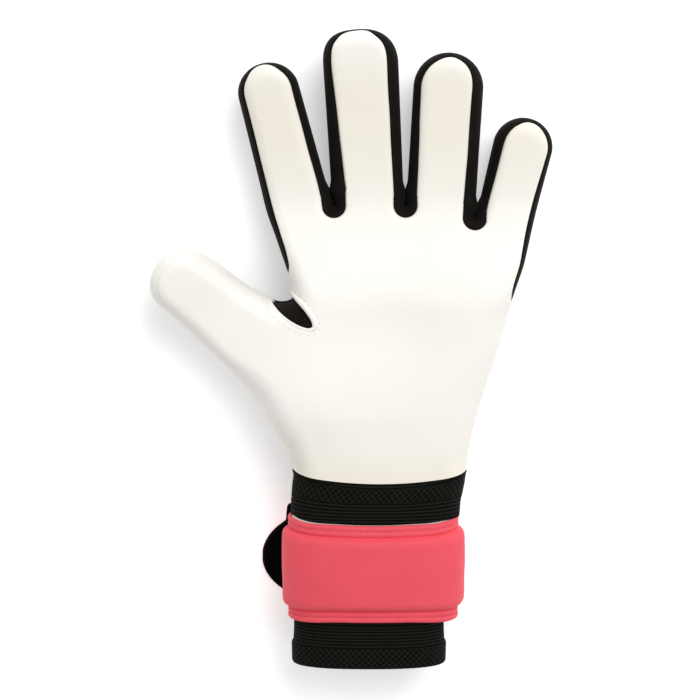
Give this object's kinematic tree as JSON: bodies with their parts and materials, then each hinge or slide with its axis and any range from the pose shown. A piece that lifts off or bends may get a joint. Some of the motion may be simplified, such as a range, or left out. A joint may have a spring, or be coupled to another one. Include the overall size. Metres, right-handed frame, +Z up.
{
  "type": "goalkeeper glove",
  "caption": "Left goalkeeper glove with a white foam latex palm, black gussets and back, a black knit cuff and a coral padded wrist strap; hollow for a hand.",
  "frame": {"origin": "middle of the glove's bounding box on the surface that it lies on, under the palm", "axes": "+Z up out of the palm, +Y from the wrist to the fingertips, the thumb on the -X side; the glove lies on its back"},
  "size_m": [0.176, 0.2822, 0.0463],
  "materials": {
    "latex": "matt white foam latex",
    "back": "matt black backhand fabric",
    "gusset": "matt black stretch mesh",
    "knit": "black elastic knit",
    "strap": "coral foam-backed jersey",
    "hook": "black hook tape"
  },
  "bodies": {
    "root": {"palm_latex": "latex", "back_panel": "back", "gusset_index_outer": "gusset", "gusset_index_middle": "gusset", "gusset_middle_ring": "gusset", "gusset_ring_little": "gusset", "gusset_little_outer": "gusset", "thumb_crotch_gusset": "gusset", "knit_cuff": "knit", "wrist_strap": "strap", "hook_patch": "hook"}
  },
  "joints": []
}
